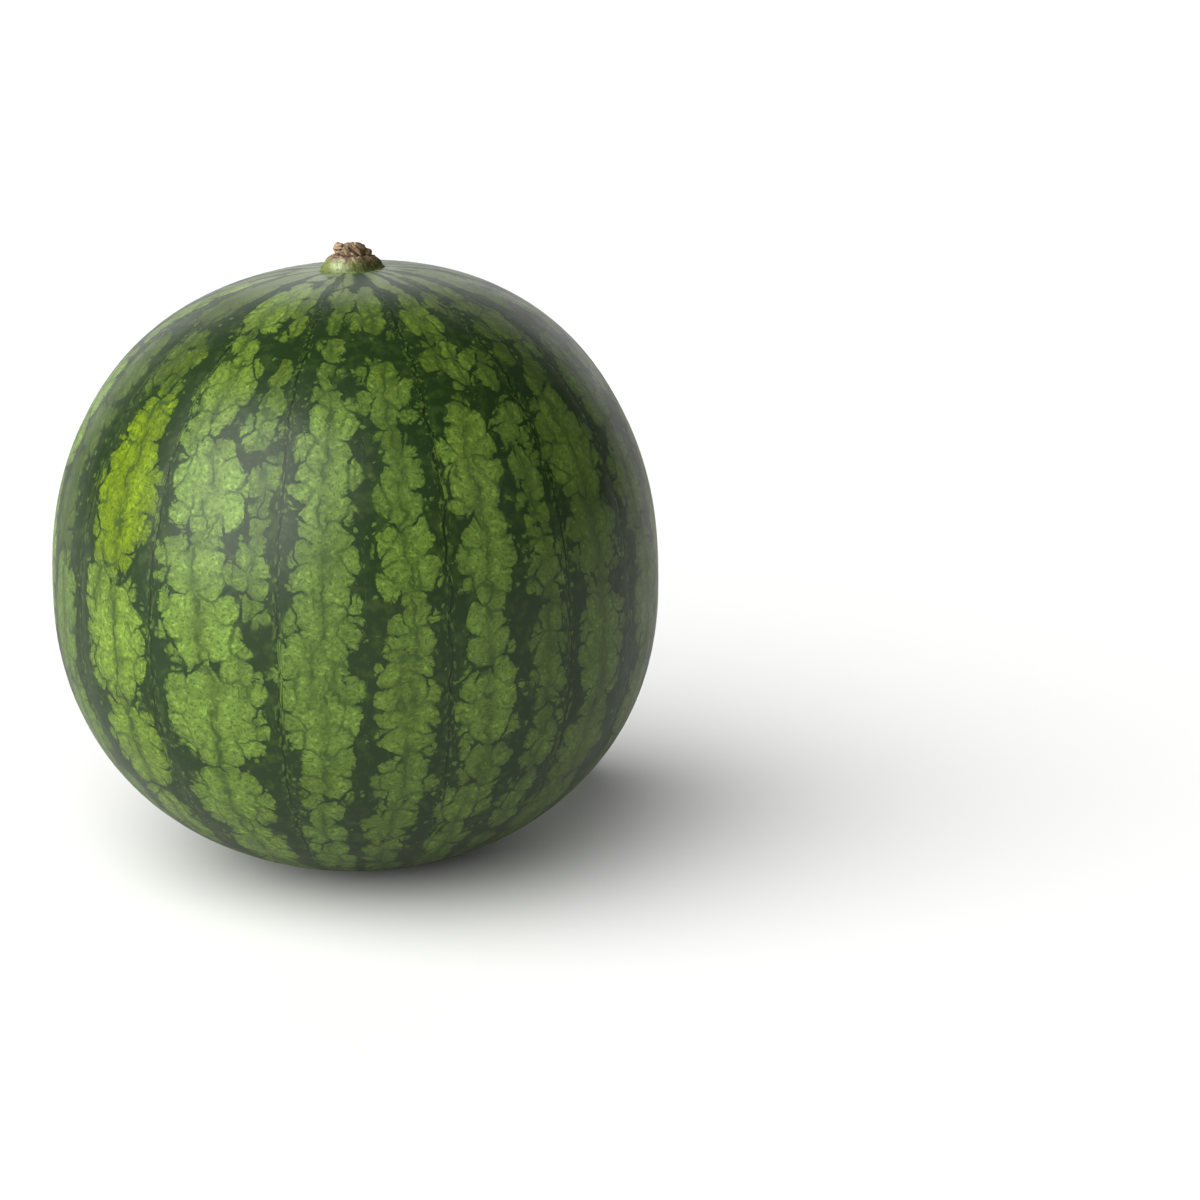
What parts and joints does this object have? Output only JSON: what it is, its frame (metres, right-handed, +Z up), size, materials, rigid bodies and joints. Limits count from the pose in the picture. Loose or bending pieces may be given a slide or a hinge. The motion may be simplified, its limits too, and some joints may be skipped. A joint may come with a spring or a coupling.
{
  "type": "watermelon",
  "caption": "Whole round watermelon with a short dry stem stub, standing on a small flat spot at its blossom end.",
  "frame": {"origin": "centre of the small flat spot that the fruit rests on, at its blossom end", "axes": "+Z up, from the blossom end to the stem; -Y is the front; the +X shoulder stands a little higher than the -X one"},
  "size_m": [0.18, 0.18, 0.1865],
  "materials": {
    "rind": "waxy, satin; dark green stripes between mottled light green bands",
    "stem": "dry, rough and fibrous, green at its foot"
  },
  "bodies": {
    "root": {"fruit": "rind", "stem": "stem"}
  },
  "joints": []
}
